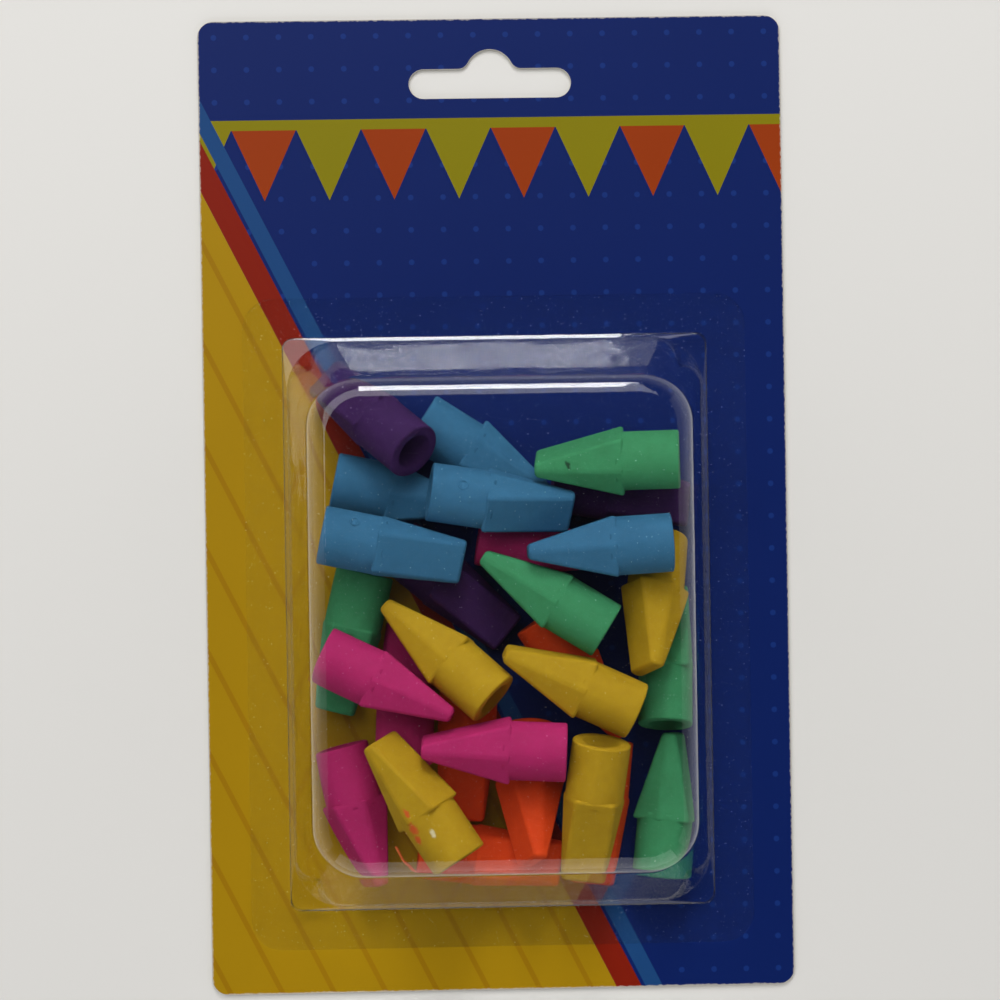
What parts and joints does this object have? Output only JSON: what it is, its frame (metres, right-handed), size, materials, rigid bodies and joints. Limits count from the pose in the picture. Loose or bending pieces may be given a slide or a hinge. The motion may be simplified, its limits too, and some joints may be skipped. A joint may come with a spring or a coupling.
{
  "type": "pencil eraser topper pack",
  "caption": "Carded blister pack of loose wedge-shaped rubber cap erasers that push onto a pencil's end, with a hang slot.",
  "frame": {"origin": "centre of the card's back face, at the bottom of the pack as it lies on its back", "axes": "+Y up the card to the hanging edge, +Z out of the card's front through the blister, +X to the right seen from the front"},
  "size_m": [0.1142, 0.1906, 0.0284],
  "materials": {
    "card": "printed, satin",
    "clear_sheet": "clear, glossy",
    "rubber_blue": "matt moulded",
    "rubber_green": "matt moulded",
    "rubber_yellow": "matt moulded",
    "rubber_pink": "matt moulded",
    "rubber_orange": "matt moulded",
    "rubber_purple": "matt moulded"
  },
  "bodies": {
    "pack": {"backing_card": "card", "blister": "clear_sheet", "topper_blue_1": "rubber_blue", "topper_blue_2": "rubber_blue", "topper_blue_3": "rubber_blue", "topper_green_3": "rubber_green", "topper_green_4": "rubber_green", "topper_yellow_1": "rubber_yellow", "topper_yellow_4": "rubber_yellow", "topper_yellow_5": "rubber_yellow", "topper_pink_2": "rubber_pink", "topper_pink_5": "rubber_pink", "topper_orange_1": "rubber_orange", "topper_orange_2": "rubber_orange", "topper_orange_3": "rubber_orange", "topper_orange_4": "rubber_orange", "topper_orange_5": "rubber_orange", "topper_purple_2": "rubber_purple", "topper_purple_3": "rubber_purple"},
    "topper_pink_4": {"topper_pink_4": "rubber_pink"},
    "topper_green_2": {"topper_green_2": "rubber_green"},
    "topper_purple_1": {"topper_purple_1": "rubber_purple"},
    "topper_blue_4": {"topper_blue_4": "rubber_blue"},
    "topper_yellow_3": {"topper_yellow_3": "rubber_yellow"},
    "topper_pink_1": {"topper_pink_1": "rubber_pink"},
    "topper_yellow_2": {"topper_yellow_2": "rubber_yellow"},
    "topper_green_1": {"topper_green_1": "rubber_green"},
    "topper_blue_5": {"topper_blue_5": "rubber_blue"},
    "topper_green_5": {"topper_green_5": "rubber_green"},
    "topper_pink_3": {"topper_pink_3": "rubber_pink"}
  },
  "joints": [
    {"name": "pink_4_lift", "type": "slide", "parent": "pack", "child": "topper_pink_4", "axis": [0, 0, 1], "range_m": [0, 0.0049]},
    {"name": "green_2_lift", "type": "slide", "parent": "pack", "child": "topper_green_2", "axis": [0, 0, 1], "range_m": [0, 0.0041]},
    {"name": "purple_1_lift", "type": "slide", "parent": "pack", "child": "topper_purple_1", "axis": [0, 0, 1], "range_m": [0, 0.0035]},
    {"name": "blue_4_lift", "type": "slide", "parent": "pack", "child": "topper_blue_4", "axis": [0, 0, 1], "range_m": [0, 0.0035]},
    {"name": "yellow_3_lift", "type": "slide", "parent": "pack", "child": "topper_yellow_3", "axis": [0, 0, 1], "range_m": [0, 0.0031]},
    {"name": "pink_1_lift", "type": "slide", "parent": "pack", "child": "topper_pink_1", "axis": [0, 0, 1], "range_m": [0, 0.003]},
    {"name": "yellow_2_lift", "type": "slide", "parent": "pack", "child": "topper_yellow_2", "axis": [0, 0, 1], "range_m": [0, 0.0023]},
    {"name": "green_1_lift", "type": "slide", "parent": "pack", "child": "topper_green_1", "axis": [0, 0, 1], "range_m": [0, 0.002]},
    {"name": "blue_5_lift", "type": "slide", "parent": "pack", "child": "topper_blue_5", "axis": [0, 0, 1], "range_m": [0, 0.0016]},
    {"name": "green_5_lift", "type": "slide", "parent": "pack", "child": "topper_green_5", "axis": [0, 0, 1], "range_m": [0, 0.0007]},
    {"name": "pink_3_lift", "type": "slide", "parent": "pack", "child": "topper_pink_3", "axis": [0, 0, 1], "range_m": [0, 0.0006]}
  ]
}
